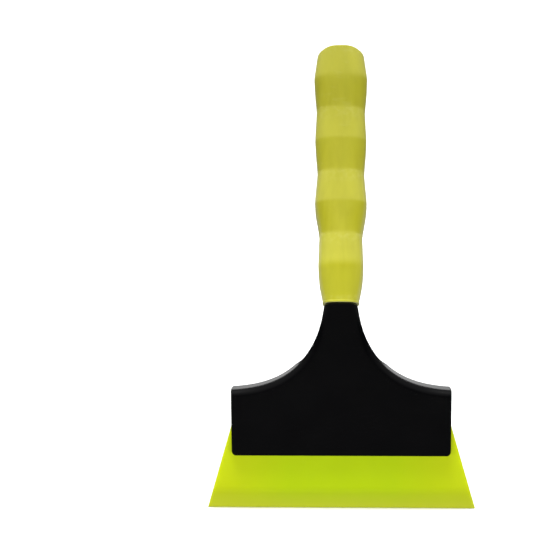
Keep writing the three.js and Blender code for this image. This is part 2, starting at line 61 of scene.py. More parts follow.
HEAD_HALF_WIDTH = 60.7
HEAD_DEPTH = 12.4
HEAD_BOTTOM = 33.0
SHOULDER_CENTRE = (72.8, 140.9)
SHOULDER_RADII = (64.6, 70.8)
SHOULDER_POWER = 2.785
SHOULDER_FILLET = 3.6
BACK_ROUND = {"shoulder": 1.6, "neck": 3.4}
BACK_DRAFT = {"shoulder": 0.1, "neck": 1.6}
# Sines of the turn from shoulder to neck, between which the two above change over.
BACK_CHANGE = (0.64, 0.74)
EDGE_ROUND = 1.2
SMALLEST_ROUND = 0.3
END_RIM = {"inset": 2.2, "depth": 8.0}
BOTTOM_CORNER = {"front": 1.6, "back": 3.2}
WALL = 2.6
CHANNEL_PLAY = 0.2
CAVITY_FLOOR, CAVITY_CEILING = 67.0, 118.2
CAVITY_HALF_WIDTH = 50.0
NECK_RIB = {"half_width": 0.6, "overlap": 1.2, "start": 97.0, "end": 128.0}
NECK_START = {"front": 90.0, "back": 74.0}
NECK_SPAN = {"front": 32.0, "back": 39.0}
NECK_POWER = {"front": 2.0, "back": 1.7}
NECK_PUSH, NECK_SWELL = 4.6, 10.8

SEAM = Vector((0, -4.6, 122.2))
SEAM_FALL = math.radians(20)
SEAM_GAP = 0.3
SEAM_ROUND = 1.6
FOOT_ROUND = 0.3
PARTING = 4.0
PARTING_BEND = (104.0, 124.0)
SHUT_LINE = {"gap": 0.2, "width": 0.3, "depth": 0.4}

LEAN = math.radians(11.3)
RING_FALL = math.radians(26)
GRIP_ORIGIN = Vector((0, -11, 122))
GRIP_DEPTH = 38.5
CORNER_RADIUS = 10.5
SHORTEST_FLAT = 0.1
FIRST_RIDGE = 23.3
RING_STEP = 16.8
RING_HALF_WIDTHS = (12.3, 11.7, 14.0, 12.6, 13.8, 13.0, 14.3)
FRONT_WAVE, BACK_WAVE = 0.6, 1.0
RIDGE_SOFTENING = 0.045
WIDTH_EASE = 0.35
SLEEVE_FOOT = {
    "front": Vector((0, -5.6, 122.6)),
    "back": Vector((0, 24.2, 111.8)),
    "half_width": 9.6,
}
FOOT_OVERRUN = 4.0
SLEEVE_WALL, FOOT_WALL = 3.2, 2.4
LIP = {"height": 1.3, "flat": 0.4, "swell": 0.3}
END = {"front": Vector((0, 17.5, 258.7)), "half_width": 12.4, "half_length": 21.25}
END_FALL = math.radians(43.5)
RIM_ROUND = 2.0
NOSE_LENGTH = 20.0
PLUG = {"half_width": 9.2, "half_length": 12.6, "shift": 4.2, "seat": 1.8, "proud": 1.2}
PLUG_CROWN, PLUG_CHAMFER = 1.6, 0.25
DISH = {"inset": 3.0, "run": 1.2, "depth": 0.7}
STEM = {"half_width": 5.8, "half_length": 7.4, "length": 24.0}
PLUG_PLAY = 0.3

CORE_WALL = 2.4
CORE_HALF_WIDTH = 12.4
CORE_START, CORE_END = -5.0, 115.0
CORE_OVERRUN = {"bottom": 2.0, "top": 6.0}
NECK_TAPER = {"front": Vector((0, -0.45, 1)), "back": Vector((0, 0.9, 1))}
SLEEVE_PLAY = 0.3

SCREW = {"radius": 1.5, "root": 1.17, "head": 2.9, "height": 2.0, "tip": 1.2, "pitch": 0.9}
CROSS = {"reach": 1.8, "width": 0.75, "depth": 1.1}
SCREW_PLAY = 0.2
HEAD_SCREW = {"seat": 9.6, "length": 6.4}
CORE_SCREW = {"offset": 5.0, "length": 13.0}
SEAT_FLOOR = 1.5
BOSS_RADIUS, POST_RADIUS = 3.4, 4.4
HEAD_SCREWS = {
    "head_screw_lower_left": (-33.0, 69.6),
    "head_screw_lower_right": (33.0, 69.6),
    "head_screw_upper_left": (-13.0, 87.0),
    "head_screw_upper_right": (13.0, 87.0),
}
CORE_SCREWS = {"core_screw_lower": 150.0, "core_screw_upper": 196.0}

SIDE_GROOVES = {"count": 5, "first": 10.5, "step": 4.4, "half_width": 0.62, "depth": 0.55}
GROOVE_REACH = {"full": 5.5, "end": 9.5, "bow": 0.9}
CREASE = math.radians(32)

# Worked out from these: directions at the seam, along and across the handle, and at its end.
SEAM_NORMAL = Vector((0, math.sin(SEAM_FALL), math.cos(SEAM_FALL)))
ALONG = Vector((0, math.sin(LEAN), math.cos(LEAN)))
ACROSS = Vector((0, math.cos(RING_FALL), -math.sin(RING_FALL)))
LAST_RIDGE = FIRST_RIDGE + RING_STEP * (len(RING_HALF_WIDTHS) - 1)
END_NORMAL = Vector((0, math.sin(END_FALL), math.cos(END_FALL)))
END_ACROSS = Vector((0, math.cos(END_FALL), -math.sin(END_FALL)))
END_MIDDLE = END["front"] + END_ACROSS * END["half_length"]

# ---- Studio, and places where colours and painted light change, in metres ----

LIGHT_AIM = (0, 0, 0.13)
LIGHTS = {
    "key": {"kind": "SUN", "power": 4.4, "place": (-0.06, -0.17, 1.0), "aim": (0, 0, 0)},
    "low": {
        "power": 0.58,
        "place": (-0.02, -0.22, 0.04),
        "aim": (0, 0, 0.07),
        "size": (0.45, 0.08),
    },
    "left": {"power": 0.95, "place": (-0.6, -0.02, 0.12), "size": (0.4, 0.4)},
    "right": {"power": 1.8, "place": (0.6, -0.02, 0.12), "size": (0.4, 0.4)},
    "back": {"power": 2.2, "place": (0, 0.75, 0.3), "size": (0.5, 0.5)},
}
SUN_WIDTH = math.radians(25)
CAMERA_PLACE = Vector((0.00346, -0.95881, 0.35833))
CAMERA_AIM = Vector((-0.0383, -0.0088, 0.13901))
CAMERA_ROLL = math.radians(-0.58)
LENS = 120.2
# Strengths of the world, as glossy surfaces and then diffuse light see it.
OVERHEAD, TABLE, SOFTBOX, BACKDROP, AMBIENT = 0.16, 0.05, 0.3, 1.05, 0.06
FLOOR_HALF_WIDTH = 6.0

# Heights over which painted light fades in on the grip: a lighter foot, a highlight on the nose,
# and pale sheen on the low side rims.
PAINTED_FOOT_LIGHT_FADE, PAINTED_NOSE_HIGHLIGHT_FADE, PAINTED_LOW_RIM_SHEEN_FADE = (0.152, 0.14), (0.238, 0.254), (0.2, 0.15)
# Painted light on the blade: a yellower glow towards its ends, across x, and a paler bevel near the
# edge, up z.
PAINTED_END_GLOW_FADE = (0.03, 0.078)
PAINTED_BEVEL_LIGHT_FADE, EDGE_SCRATCH_FADE = (0.013, 0.001), (0.02, 0.002)

# ---- Meshes ----


def lerp(a, b, t):
    return a + (b - a) * t


def smoothstep(low, high, value):
    t = min(1.0, max(0.0, (value - low) / (high - low)))
    return t * t * (3 - 2 * t)


def in_frame(point):
    """A point in millimetres in the head's frame, moved and scaled into the CAD frame."""
    x, y, z = point
    return Vector((x * MM, (y - EDGE_DEPTH) * MM, z * MM))


def add_object(name, data):
    obj = bpy.data.objects.new(name, data)
    bpy.context.scene.collection.objects.link(obj)
    return obj


def loft(name, rings):
    """A closed body through rings of points, its two ends closed by flat faces."""
    count = len(rings[0])
    last = (len(rings) - 1) * count
    faces = []
    for row in range(0, last, count):
        for j in range(count):
            a, b = row + j, row + (j + 1) % count
            faces.append((a, b, b + count, a + count))
    faces.append(tuple(range(count)))
    faces.append(tuple(range(last, last + count)))
    mesh = bpy.data.meshes.new(name)
    mesh.from_pydata([in_frame(p) for ring in rings for p in ring], [], faces)
    work = bmesh.new()
    work.from_mesh(mesh)
    bmesh.ops.remove_doubles(work, verts=work.verts, dist=1e-7)
    bmesh.ops.recalc_face_normals(work, faces=work.faces)
    work.to_mesh(mesh)
    work.free()
    return add_object(name, mesh)


def prism(name, outline, direction, start, end):
    """A closed body carried from start to end along x, with an outline of (y, z) points, or
    along y, with one of (x, z) points."""
    rings = []
    for c in (start, end):
        rings.append([Vector((c, a, b) if direction == "x" else (a, c, b)) for a, b in outline])
    return loft(name, rings)


def box_outline(a0, a1, b0, b1):
    return [(a0, b0), (a1, b0), (a1, b1), (a0, b1)]


def circle(x, z, radius, sides=48):
    turns = [2 * math.pi * i / sides for i in range(sides)]
    return [(x + radius * math.cos(t), z + radius * math.sin(t)) for t in turns]


def bar(name, x, z, radius, start, end):
    """A round bar along y."""
    return prism(name, circle(x, z, radius), "y", start, end)


def combine(obj, tool, operation):
    """Cuts, joins or intersects obj with tool, which is used up."""
    step = obj.modifiers.new("step", "BOOLEAN")
    step.operation = operation
    step.solver = "MANIFOLD"
    step.object = tool
    graph = bpy.context.evaluated_depsgraph_get()
    mesh = bpy.data.meshes.new_from_object(obj.evaluated_get(graph))
    obj.modifiers.clear()
    old = obj.data
    obj.data = mesh
    bpy.data.meshes.remove(old)
    discard(tool)
    return obj


def cut(obj, tool):
    return combine(obj, tool, "DIFFERENCE")


def join(obj, tool):
    return combine(obj, tool, "UNION")


def keep(obj, tool):
    return combine(obj, tool, "INTERSECT")


def copy_of(obj):
    twin = obj.copy()
    twin.data = obj.data.copy()
    bpy.context.scene.collection.objects.link(twin)
    return twin


def discard(obj):
    mesh = obj.data
    bpy.data.objects.remove(obj)
    bpy.data.meshes.remove(mesh)


def finish_piece(obj, name, node, body, material):
    """Names the piece, shades it smooth between its creases, hides the CAD node that it stands for
    and ties it to its body.
    """
    mesh = obj.data
    obj.name = mesh.name = name
    mesh.materials.clear()
    mesh.materials.append(material)
    mesh.polygons.foreach_set("use_smooth", [True] * len(mesh.polygons))
    mesh.polygons.foreach_set("material_index", [0] * len(mesh.polygons))
    mesh.set_sharp_from_angle(angle=CREASE)
    weighted = obj.modifiers.new("face_weighted_normals", "WEIGHTED_NORMAL")
    weighted.keep_sharp = True
    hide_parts(node)
    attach(obj, body)


# ---- Blade ----


def rounded(corners, radii, steps=5):
    """A polygon's outline with each corner rounded by its own radius."""
    outline = []
    count = len(corners)
    for i, radius in enumerate(radii):
        corner = Vector(corners[i])
        if radius == 0:
            outline.append(tuple(corner))
            continue
        before = (Vector(corners[i - 1]) - corner).normalized()
        after = (Vector(corners[(i + 1) % count]) - corner).normalized()
        half = before.angle(after) / 2
        reach = radius / math.tan(half)
        centre = corner + (before + after).normalized() * (radius / math.sin(half))
        start = corner + before * reach - centre
        end = corner + after * reach - centre
        for k in range(steps + 1):
            outline.append(tuple(centre + start.slerp(end, k / steps) * radius))
    return outline


def root_outline(front, back, bottom, top, low):
    """Side view (y, z) of a sheet with a T-shaped root, from its back round to low in front."""
    return [
        (back, 0),
        (back, bottom - ROOT_STEP),
        (back + ROOT_STEP, bottom),
        (back + ROOT_STEP, top),
        (front - ROOT_STEP, top),
        (front - ROOT_STEP, bottom),
        (front, bottom - ROOT_STEP),
        (front, low),
    ]


def blade_profile():
    """Side view of the blade: T-shaped root, sheet, and a bevel to the working edge."""
    corners = root_outline(BLADE_FRONT, BLADE_BACK, ROOT_BOTTOM, ROOT_TOP, BEVEL_HEIGHT)
    corners.append((BLADE_BACK - EDGE_LAND, 0))
    edge, corner, root, bevel = (BLADE_ROUND[k] for k in ("edge", "corner", "root", "bevel"))
    return rounded(corners, [edge, corner, root, corner, corner, root, corner, bevel, edge])


def blade_half_width(z):
    return EDGE_HALF_WIDTH - z * BLADE_FLARE


def build_blade():
    """The sheet between its two slanting ends, whose edges are slightly rounded."""
    profile = blade_profile()
    middle = Vector((sum(y for y, _ in profile), sum(z for _, z in profile))) / len(profile)
    columns = 48
    ends = quarter_round(BLADE_ROUND["end"], 4)
    stations = [(-1, *end) for end in ends]
    stations += [(2 * i / columns - 1, 0, BLADE_ROUND["end"]) for i in range(1, columns)]
    stations += [(1, *end) for end in reversed(ends)]
    return loft("blade", [blade_ring(profile, middle, *station) for station in stations])


def blade_ring(profile, middle, share, inset, back_off):
    """The profile at a share of the half width, drawn in by inset and off its end by back_off."""
    ring = []
    for y, z in profile:
        toward = Vector((y - middle.x, z - middle.y))
        drawn_y = y - math.copysign(min(inset, abs(toward.x)), toward.x)
        drawn_z = z - math.copysign(min(inset, abs(toward.y)), toward.y) * (z > ROOT_BOTTOM)
        ring.append(Vector((share * (blade_half_width(drawn_z) - back_off), drawn_y, drawn_z)))
    return ring


def channel():
    """The space that the blade slides in, open below and at both ends."""
    front, back = BLADE_FRONT - CHANNEL_PLAY, BLADE_BACK + CHANNEL_PLAY
    bottom, top = ROOT_BOTTOM - CHANNEL_PLAY, ROOT_TOP + CHANNEL_PLAY
    return prism("channel", root_outline(front, back, bottom, top, 0), "x", -FAR, FAR)


# ---- Head and neck ----


def neck_rise(z, side):
    return max(0.0, (z - NECK_START[side]) / NECK_SPAN[side]) ** NECK_POWER[side]


def neck_front(z):
    return -NECK_PUSH * neck_rise(z, "front")


def neck_back(z):
    return HEAD_DEPTH + NECK_SWELL * neck_rise(z, "back")


def shoulder_line(turn):
    """Point (x, z) on the shoulder's superellipse and the direction from it into the head."""
    rx, rz = SHOULDER_RADII
    across = max(0.0, math.sin(turn)) ** (2 / SHOULDER_POWER)
    up = max(0.0, math.cos(turn)) ** (2 / SHOULDER_POWER)
    slope = SHOULDER_POWER - 1
    inward = Vector((-(across**slope) / rx, -(up**slope) / rz)).normalized()
    return Vector((SHOULDER_CENTRE[0] - rx * across, SHOULDER_CENTRE[1] - rz * up)), inward


def quarter_round(radius, steps=10):
    """(inset, depth) pairs of a quarter round, from the face to the side."""
    angles = [math.pi / 2 * i / steps for i in range(steps + 1)]
    return [(radius * (1 - math.sin(a)), radius * (1 - math.cos(a))) for a in angles]


def shoulder_ring(turn, wall):
    """A closed section of the head across the shoulder line, drawn in by wall on every side."""
    line, inward = shoulder_line(turn)
    neck_share = smoothstep(*BACK_CHANGE, math.sin(turn))
    back_radius = lerp(BACK_ROUND["shoulder"], BACK_ROUND["neck"], neck_share)
    draft = lerp(BACK_DRAFT["shoulder"], BACK_DRAFT["neck"], neck_share)
    right = []
    front_round = quarter_round(max(SMALLEST_ROUND, SHOULDER_FILLET - wall))
    back_round = quarter_round(max(SMALLEST_ROUND, back_radius - wall))
    pairs = [(inset, wall + depth) for inset, depth in front_round]
    pairs += [(inset, HEAD_DEPTH - wall - depth) for inset, depth in reversed(back_round)]
    for inset, depth in pairs:
        drawn = wall + inset + draft * max(0.0, (depth - PARTING) / HEAD_DEPTH)
        place = line + inward * drawn
        y = lerp(neck_front(place.y), neck_back(place.y), depth / HEAD_DEPTH)
        right.append(Vector((place.x, y, place.y)))
    left = [Vector((-p.x, p.y, p.z)) for p in reversed(right)]
    return right + left


def shoulder_loft(name, reach, floor, wall):
    """The shoulders and neck from z = floor up, out to x = reach."""
    across = max(0.0, (SHOULDER_CENTRE[0] - reach) / SHOULDER_RADII[0])
    start = math.asin(across ** (SHOULDER_POWER / 2))
    steps = 96
    rings = [shoulder_ring(lerp(start, math.pi / 2, i / steps), wall) for i in range(steps + 1)]
    rings.insert(0, [Vector((p.x, p.y, floor)) for p in rings[0]])
    return loft(name, rings)


def lower_outline(corner):
    """The head's ends and bottom in front view, with rounded bottom corners."""
    w, low, top = HEAD_HALF_WIDTH, HEAD_BOTTOM, NECK_START["back"]
    corners = [(w, top), (-w, top), (-w, low), (w, low)]
    return rounded(corners, [0, 0, corner, corner], steps=10)


def rimmed_slab(name, corner, start, end, rim, rim_depth):
    """The lower outline carried from y = start to y = end, with an oval rim round its start."""
    toward = math.copysign(1, end - start)
    rings = []
    for inset, depth in quarter_round(1, 8):
        shrunk = [shrink(a, b, inset * rim) for a, b in lower_outline(corner)]
        rings.append([Vector((a, start + toward * depth * rim_depth, b)) for a, b in shrunk])
    rings.append([Vector((a, end, b)) for a, b in lower_outline(corner)])
    return loft(name, rings)


def shrink(x, z, inset):
    """A point of the lower outline moved in by inset from the ends and the bottom."""
    w, height = HEAD_HALF_WIDTH, NECK_START["back"] - HEAD_BOTTOM
    share = (z - HEAD_BOTTOM) / height
    return x * (w - inset) / w, HEAD_BOTTOM + inset + share * (height - inset)


def side_limits():
    """Everything inside the head's ends and bottom, whose edges are sharper in front."""
    w, deep = HEAD_HALF_WIDTH, HEAD_DEPTH
    inset, depth = END_RIM["inset"], END_RIM["depth"]
    front = rimmed_slab("front_edges", BOTTOM_CORNER["front"], 0, 2 * deep, EDGE_ROUND, EDGE_ROUND)
    back = rimmed_slab("back_edges", BOTTOM_CORNER["back"], deep, -deep, inset, depth)
    low = NECK_START["back"] - inset
    above = prism("above", box_outline(-w, w, low, 2 * FAR), "y", -FAR, FAR)
    return join(keep(front, back), above)


def above_plane(point, normal):
    """A large block on the normal's side of a plane that is parallel to x."""
    along = Vector((0, normal.z, -normal.y))
    big = 4 * FAR
    near = [point - along * big, point + along * big]
    far = [near[1] + normal * big, near[0] + normal * big]
    outline = [(p.y, p.z) for p in near + far]
    return prism("above_plane", outline, "x", -big, big)


def head_body(inset=0.0):
    """The head and neck up to the seam, solid, with front and back drawn in by inset."""
    w = HEAD_HALF_WIDTH
    floor = CAVITY_FLOOR - 1
    overlap = 0.2
    body = shoulder_loft("head", SHOULDER_CENTRE[0], floor, inset)
    outline = box_outline(-w, w, HEAD_BOTTOM, floor + overlap)
    lower = prism("lower", outline, "y", inset, HEAD_DEPTH - inset)
    keep(join(body, lower), side_limits())
    cut(body, above_plane(SEAM, SEAM_NORMAL))
    return body


def head_cavity():
    """The hollow of the head above the blade, up to the neck."""
    space = shoulder_loft("cavity", CAVITY_HALF_WIDTH, CAVITY_FLOOR, WALL)
    ceiling = prism("ceiling", box_outline(-FAR, FAR, CAVITY_CEILING, 2 * FAR), "y", -FAR, FAR)
    return cut(space, ceiling)


def reshape_rim(obj, point, normal, rows, draw_in, inside):
    """Slices the skin of obj at rows of distances from a plane, then draws its points in by
    draw_in(distance). inside(vertex) says which way that is."""
    centre = in_frame(point)
    work = bmesh.new()
    work.from_mesh(obj.data)
    for row in rows:
        geometry = work.verts[:] + work.edges[:] + work.faces[:]
        plane = centre + normal * (row * MM)
        bmesh.ops.bisect_plane(work, geom=geometry, dist=1e-8, plane_co=plane, plane_no=normal)
    for vertex in work.verts:
        draw = draw_in((vertex.co - centre).dot(normal) / MM)
        if draw:
            vertex.co += inside(vertex.co) * (draw * MM)
    work.to_mesh(obj.data)
    work.free()


def round_rim(obj, point, normal, radius, inside):
    """Rounds the skin of obj where a plane ends it. The skin is on the plane's inner side."""

    def draw_in(above):
        lift = max(0.0, 1 - max(0.0, -above) / radius)
        return radius * (1 - math.sqrt(max(0.0, 1 - lift * lift)))

    rows = [-radius * (1 - math.sin(math.radians(a))) for a in (15, 30, 45, 60, 75, 90)]
    reshape_rim(obj, point, normal, rows, draw_in, inside)


def roll_lip(obj, point, normal, inside):
    """Swells the skin of obj into a thin lip just above the plane that ends it."""

    def draw_in(above):
        return -LIP["swell"] * (1 - smoothstep(LIP["flat"], LIP["height"], above))

    rows = [LIP["height"] * i / 10 for i in range(1, 11)]
    reshape_rim(obj, point, normal, rows, draw_in, inside)


def toward_axis(front, back, normal):
    """Direction from a point on a rim in towards the line between the rim's front and back."""
    ends = [in_frame(front), in_frame(back)]
    axis = (ends[1] - ends[0]).normalized()
    straight_share = 0.55
    straight = (ends[1] - ends[0]).length / 2 * straight_share

    def inside(place):
        offset = place - (ends[0] + ends[1]) / 2
        along = offset.dot(axis)
        held = max(-straight, min(straight, along))
        inward = axis * held - (offset - normal * offset.dot(normal))
        return inward.normalized() if inward.length > 1e-9 else Vector()

    return inside


def in_front_of_parting(shift):
    """Everything in front of the parting surface, moved back by shift."""
    rise = math.tan(LEAN)
    y = PARTING + shift
    low, high = PARTING_BEND
    middle = (low + high) / 2
    top = 4 * FAR
    outline = [(-FAR, -FAR), (y, -FAR)]
    steps = 12
    for i in range(steps + 1):
        t = i / steps
        z = lerp(low, high, t)
        outline.append((y + rise * (high - middle) * t * t, z))
    outline += [(y + (top - middle) * rise, top), (-FAR, top)]
    return prism("in_front", outline, "x", -2 * FAR, 2 * FAR)


def parting_at(z):
    return PARTING + (z - sum(PARTING_BEND) / 2) * math.tan(LEAN)


# ---- Grip ----


def ring_shape(front, back, half_width, radius):
    """Centre, direction across, half depth and corner radius of a rounded rectangle in the
    plane through a front and a back point, parallel to x."""
    across = back - front
    half_depth = across.length / 2
    corner = min(radius, half_width - SHORTEST_FLAT, half_depth - SHORTEST_FLAT)
    return (front + back) / 2, across.normalized(), half_depth, corner


def corner_arc(half_width, half_depth, corner, quarter, steps, last=0):
    """Points (x, depth) round one of its corners, with or without the last one."""
    x = (half_width - corner) * (1 if quarter in (0, 3) else -1)
    depth = (half_depth - corner) * (1 if quarter < 2 else -1)
    angles = [(quarter + i / steps) * math.pi / 2 for i in range(steps + last)]
    return [(x + corner * math.cos(a), depth + corner * math.sin(a)) for a in angles]


def plain_ring(front, back, half_width, radius=CORNER_RADIUS, corner_steps=8):
    """A rounded rectangle with points on its corners only."""
    centre, across, half_depth, corner = ring_shape(front, back, half_width, radius)
    path = []
    for quarter in range(4):
        path += corner_arc(half_width, half_depth, corner, quarter, corner_steps, 1)
    return [centre + across * depth + Vector((x, 0, 0)) for x, depth in path]


def fine_ring(front, back, half_width, radius, groove=None):
    """A rounded rectangle with points all along its flats, and grooves down its two sides.
    groove(depth from the front) gives how deep the groove is there."""
    centre, across, half_depth, corner = ring_shape(front, back, half_width, radius)
    flat_x, flat_d = half_width - corner, half_depth - corner
    corner_steps, side_steps, face_steps = 18, 72, 8
    flats = [
        (half_width, half_width, -flat_d, flat_d, side_steps),
        (flat_x, -flat_x, half_depth, half_depth, face_steps),
        (-half_width, -half_width, flat_d, -flat_d, side_steps),
        (-flat_x, flat_x, -half_depth, -half_depth, face_steps),
    ]
    path = []
    for quarter, (x0, x1, d0, d1, steps) in enumerate(flats):
        shares = [i / steps for i in range(steps)]
        path += [(lerp(x0, x1, t), lerp(d0, d1, t)) for t in shares]
        path += corner_arc(half_width, half_depth, corner, quarter, corner_steps)
    ring = []
    for x, depth in path:
        if groove:
            x -= math.copysign(groove(depth + half_depth), x)
        ring.append(centre + across * depth + Vector((x, 0, 0)))
    return ring


def wave(s):
    """+1 on a ridge, -1 in a valley, straight between them with slightly softened turns."""
    soften = RIDGE_SOFTENING
    phase = abs((s - FIRST_RIDGE) / RING_STEP) % 2
    distance = phase if phase < 1 else 2 - phase
    from_turn = min(distance, 1 - distance)
    straight = 1 - 2 * distance
    if from_turn >= soften:
        return straight
    round_off = (soften - from_turn) ** 2 / (2 * soften) * 2
    return straight - round_off if distance < 0.5 else straight + round_off


def ring_half_width(s):
    position = max(0.0, (s - FIRST_RIDGE) / RING_STEP)
    index = min(int(position), len(RING_HALF_WIDTHS) - 2)
    t = position - index
    soft = 0.5 - 0.5 * math.cos(math.pi * t)
    eased = lerp(t, soft, WIDTH_EASE)
    return lerp(RING_HALF_WIDTHS[index], RING_HALF_WIDTHS[index + 1], eased)


def ribbed_station(s):
    front = GRIP_ORIGIN + ALONG * s
    return {
        "front": front - ACROSS * (FRONT_WAVE * wave(s)),
        "back": front + ACROSS * (GRIP_DEPTH + BACK_WAVE * (wave(s) - 1)),
        "half_width": ring_half_width(s),
    }


def foot_station(t):
    """Outer section between the seam (t = 0) and the first ridge (t = 1)."""
    ridge = ribbed_station(FIRST_RIDGE)
    ease = math.sin(t * math.pi / 2)
    station = {"half_width": lerp(SLEEVE_FOOT["half_width"], ridge["half_width"], ease)}
    for side in ("front", "back"):
        station[side] = SLEEVE_FOOT[side].lerp(ridge[side], t)
        station[side].y = lerp(SLEEVE_FOOT[side].y, ridge[side].y, ease)
    return station


def slide_to_end(points, share, lift):
    """Slides points along the handle by a share of their way to the slanted end plane."""
    rate = ALONG.dot(END_NORMAL)
    moved = []
    for point in points:
        gap = END["front"] - point
        travel = share * (gap.y * END_NORMAL.y + gap.z * END_NORMAL.z + lift) / rate
        moved.append(point + ALONG * travel)
    return moved


def groove_at(s):
    """Depth of the side grooves across a ring at s: a set of grooves crosses each ridge."""
    nearest = round((s - FIRST_RIDGE) / (2 * RING_STEP)) * 2 * RING_STEP + FIRST_RIDGE
    away = abs(s - nearest)
    full, end = GROOVE_REACH["full"], GROOVE_REACH["end"]
    strength = 1 - smoothstep(full, end, away)
    if strength <= 0:
        return None
    bow = GROOVE_REACH["bow"] * (1 - (away / end) ** 2)
    first, step = SIDE_GROOVES["first"], SIDE_GROOVES["step"]
    places = [first + k * step + bow for k in range(SIDE_GROOVES["count"])]
    half = SIDE_GROOVES["half_width"]

    def depth(distance):
        off = min(abs(distance - place) for place in places)
        return SIDE_GROOVES["depth"] * strength * max(0.0, 1 - (off / half) ** 2)

    return depth


def sleeve_rings():
    below = foot_station(0)
    for side in ("front", "back"):
        below[side] = below[side] - ALONG * FOOT_OVERRUN
    rings = [fine_ring(**below, radius=CORNER_RADIUS)]
    foot_steps, grooves_start = 30, 0.4
    for i in range(foot_steps):
        t = i / foot_steps
        groove = groove_at(t * FIRST_RIDGE) if t > grooves_start else None
        rings.append(fine_ring(**foot_station(t), radius=CORNER_RADIUS, groove=groove))
    steps_per_facet = 24
    rib_steps = (len(RING_HALF_WIDTHS) - 1) * steps_per_facet
    for i in range(rib_steps + 1):
        s = FIRST_RIDGE + RING_STEP * i / steps_per_facet
        rings.append(fine_ring(**ribbed_station(s), radius=CORNER_RADIUS, groove=groove_at(s)))
    rings += nose_rings()
    first_ridge = foot_steps + 1
    soften_rings(rings, first_ridge, reach=9, passes=10)
    soften_rings(rings, first_ridge + rib_steps, reach=5, passes=3)
    return rings


def soften_rings(rings, index, reach, passes):
    """Evens out the rings near an index, so that the ridge there turns over softly."""
    for _ in range(passes):
        window = rings[index - reach - 1 : index + reach + 2]
        for k in range(1, len(window) - 1):
            before, here, after = window[k - 1 : k + 2]
            even = [(a + b * 2 + c) / 4 for a, b, c in zip(before, here, after)]
            rings[index - reach - 1 + k] = even


def nose_ring(t, inset=0.0, lift=0.0, groove=None):
    ridge = ribbed_station(LAST_RIDGE)
    front = ridge["front"] + ACROSS * (inset + FRONT_WAVE * t)
    back = ridge["back"] - ACROSS * inset
    half_width = lerp(ridge["half_width"], END["half_width"], t) - inset
    return slide_to_end(fine_ring(front, back, half_width, CORNER_RADIUS - inset, groove), t, lift)


def nose_rings():
    """Rings from the last ridge to the slanted end, and over its rounded rim."""
    side_steps, sides_end = 16, 0.96
    rings = []
    for i in range(1, side_steps):
        t = sides_end * i / side_steps
        rings.append(nose_ring(t, groove=groove_at(LAST_RIDGE + t * NOSE_LENGTH)))
    for i in range(11):
        turn = math.pi / 2 * i / 10
        inset, lift = RIM_ROUND * (1 - math.cos(turn)), RIM_ROUND * (math.sin(turn) - 1)
        rings.append(nose_ring(1, inset, lift))
    return rings


def smooth_station(s):
    """Outer line of the grip without its ribs, as the core follows it."""
    foot = foot_station(0)
    t = min(1.0, max(0.0, s / FIRST_RIDGE))
    direction = NECK_TAPER if s < 0 else {"front": ALONG, "back": ALONG}
    front = GRIP_ORIGIN + ALONG * s
    back = front + ACROSS * (GRIP_DEPTH - BACK_WAVE)
    low_front = foot["front"] + direction["front"] * s
    low_back = foot["back"] + direction["back"] * s
    return t, low_front.lerp(front, t), low_back.lerp(back, t)


def core_loft(name, start, end, wall):
    rings = []
    steps = 24
    for i in range(steps + 1):
        t, front, back = smooth_station(lerp(start, end, i / steps))
        inset = wall + lerp(FOOT_WALL, SLEEVE_WALL + FRONT_WAVE, t)
        width = lerp(SLEEVE_FOOT["half_width"], CORE_HALF_WIDTH, math.sin(t * math.pi / 2))
        radius = CORNER_RADIUS - SLEEVE_WALL - wall
        front, back = front + ACROSS * inset, back - ACROSS * inset
        rings.append(plain_ring(front, back, width - inset, radius))
    return loft(name, rings)


def stem_loft(name, grow):
    """The plug's stem, a straight oval bar that runs down the handle from the slanted end."""
    top = END_MIDDLE - END_NORMAL * (PLUG["seat"] / 2)
    rings = []
    for down in (STEM["length"] + grow, -grow):
        centre = top - ALONG * down
        reach = END_ACROSS * (STEM["half_length"] + grow)
        rings.append(plain_ring(centre - reach, centre + reach, STEM["half_width"] + grow))
    return loft(name, rings)


def plug_ring(lift, inset):
    centre = END_MIDDLE + END_ACROSS * PLUG["shift"] + END_NORMAL * lift
    reach = END_ACROSS * (PLUG["half_length"] - inset)
    half_width = PLUG["half_width"] - inset
    return plain_ring(centre - reach, centre + reach, half_width, corner_steps=20)


def build_plug():
    """Flange with a soft crown and a shallow dished middle, on its stem."""
    seat, proud = PLUG["seat"], PLUG["proud"]
    rings = [plug_ring(-seat, PLUG_CHAMFER), plug_ring(PLUG_CHAMFER - seat, 0), plug_ring(0, 0)]
    for i in range(1, 11):
        turn = math.pi / 2 * i / 10
        rings.append(plug_ring(proud * math.sin(turn), PLUG_CROWN * (1 - math.cos(turn))))
    for i in range(11):
        turn = math.pi / 2 * i / 10
        sunk = DISH["depth"] * (1 - math.cos(turn))
        rings.append(plug_ring(proud - sunk, DISH["inset"] + DISH["run"] * math.sin(turn)))
    return join(loft("end_plug", rings), stem_loft("stem", 0))


def plug_seat():
    clear = 10
    rings = [plug_ring(-PLUG["seat"] - PLUG_PLAY, -PLUG_PLAY), plug_ring(clear, -PLUG_PLAY)]
    return loft("plug_seat", rings)


def build_sleeve():
    """The ribbed sleeve, with its bore, the stem's room and the plug's seat cut out."""
    sleeve = loft("grip", sleeve_rings())
    foot_plane = SEAM + SEAM_NORMAL * SEAM_GAP
    keep(sleeve, above_plane(foot_plane, SEAM_NORMAL))
    foot = foot_station(0)
    inside = toward_axis(foot["front"], foot["back"], SEAM_NORMAL)
    roll_lip(sleeve, foot_plane, SEAM_NORMAL, inside)
    round_rim(sleeve, foot_plane, -SEAM_NORMAL, FOOT_ROUND, inside)
    cut(sleeve, core_loft("bore", CORE_START, CORE_END + SLEEVE_PLAY, -SLEEVE_PLAY))
    cut(sleeve, stem_loft("stem_room", PLUG_PLAY))
    return cut(sleeve, plug_seat())


# ---- Screws and shells ----


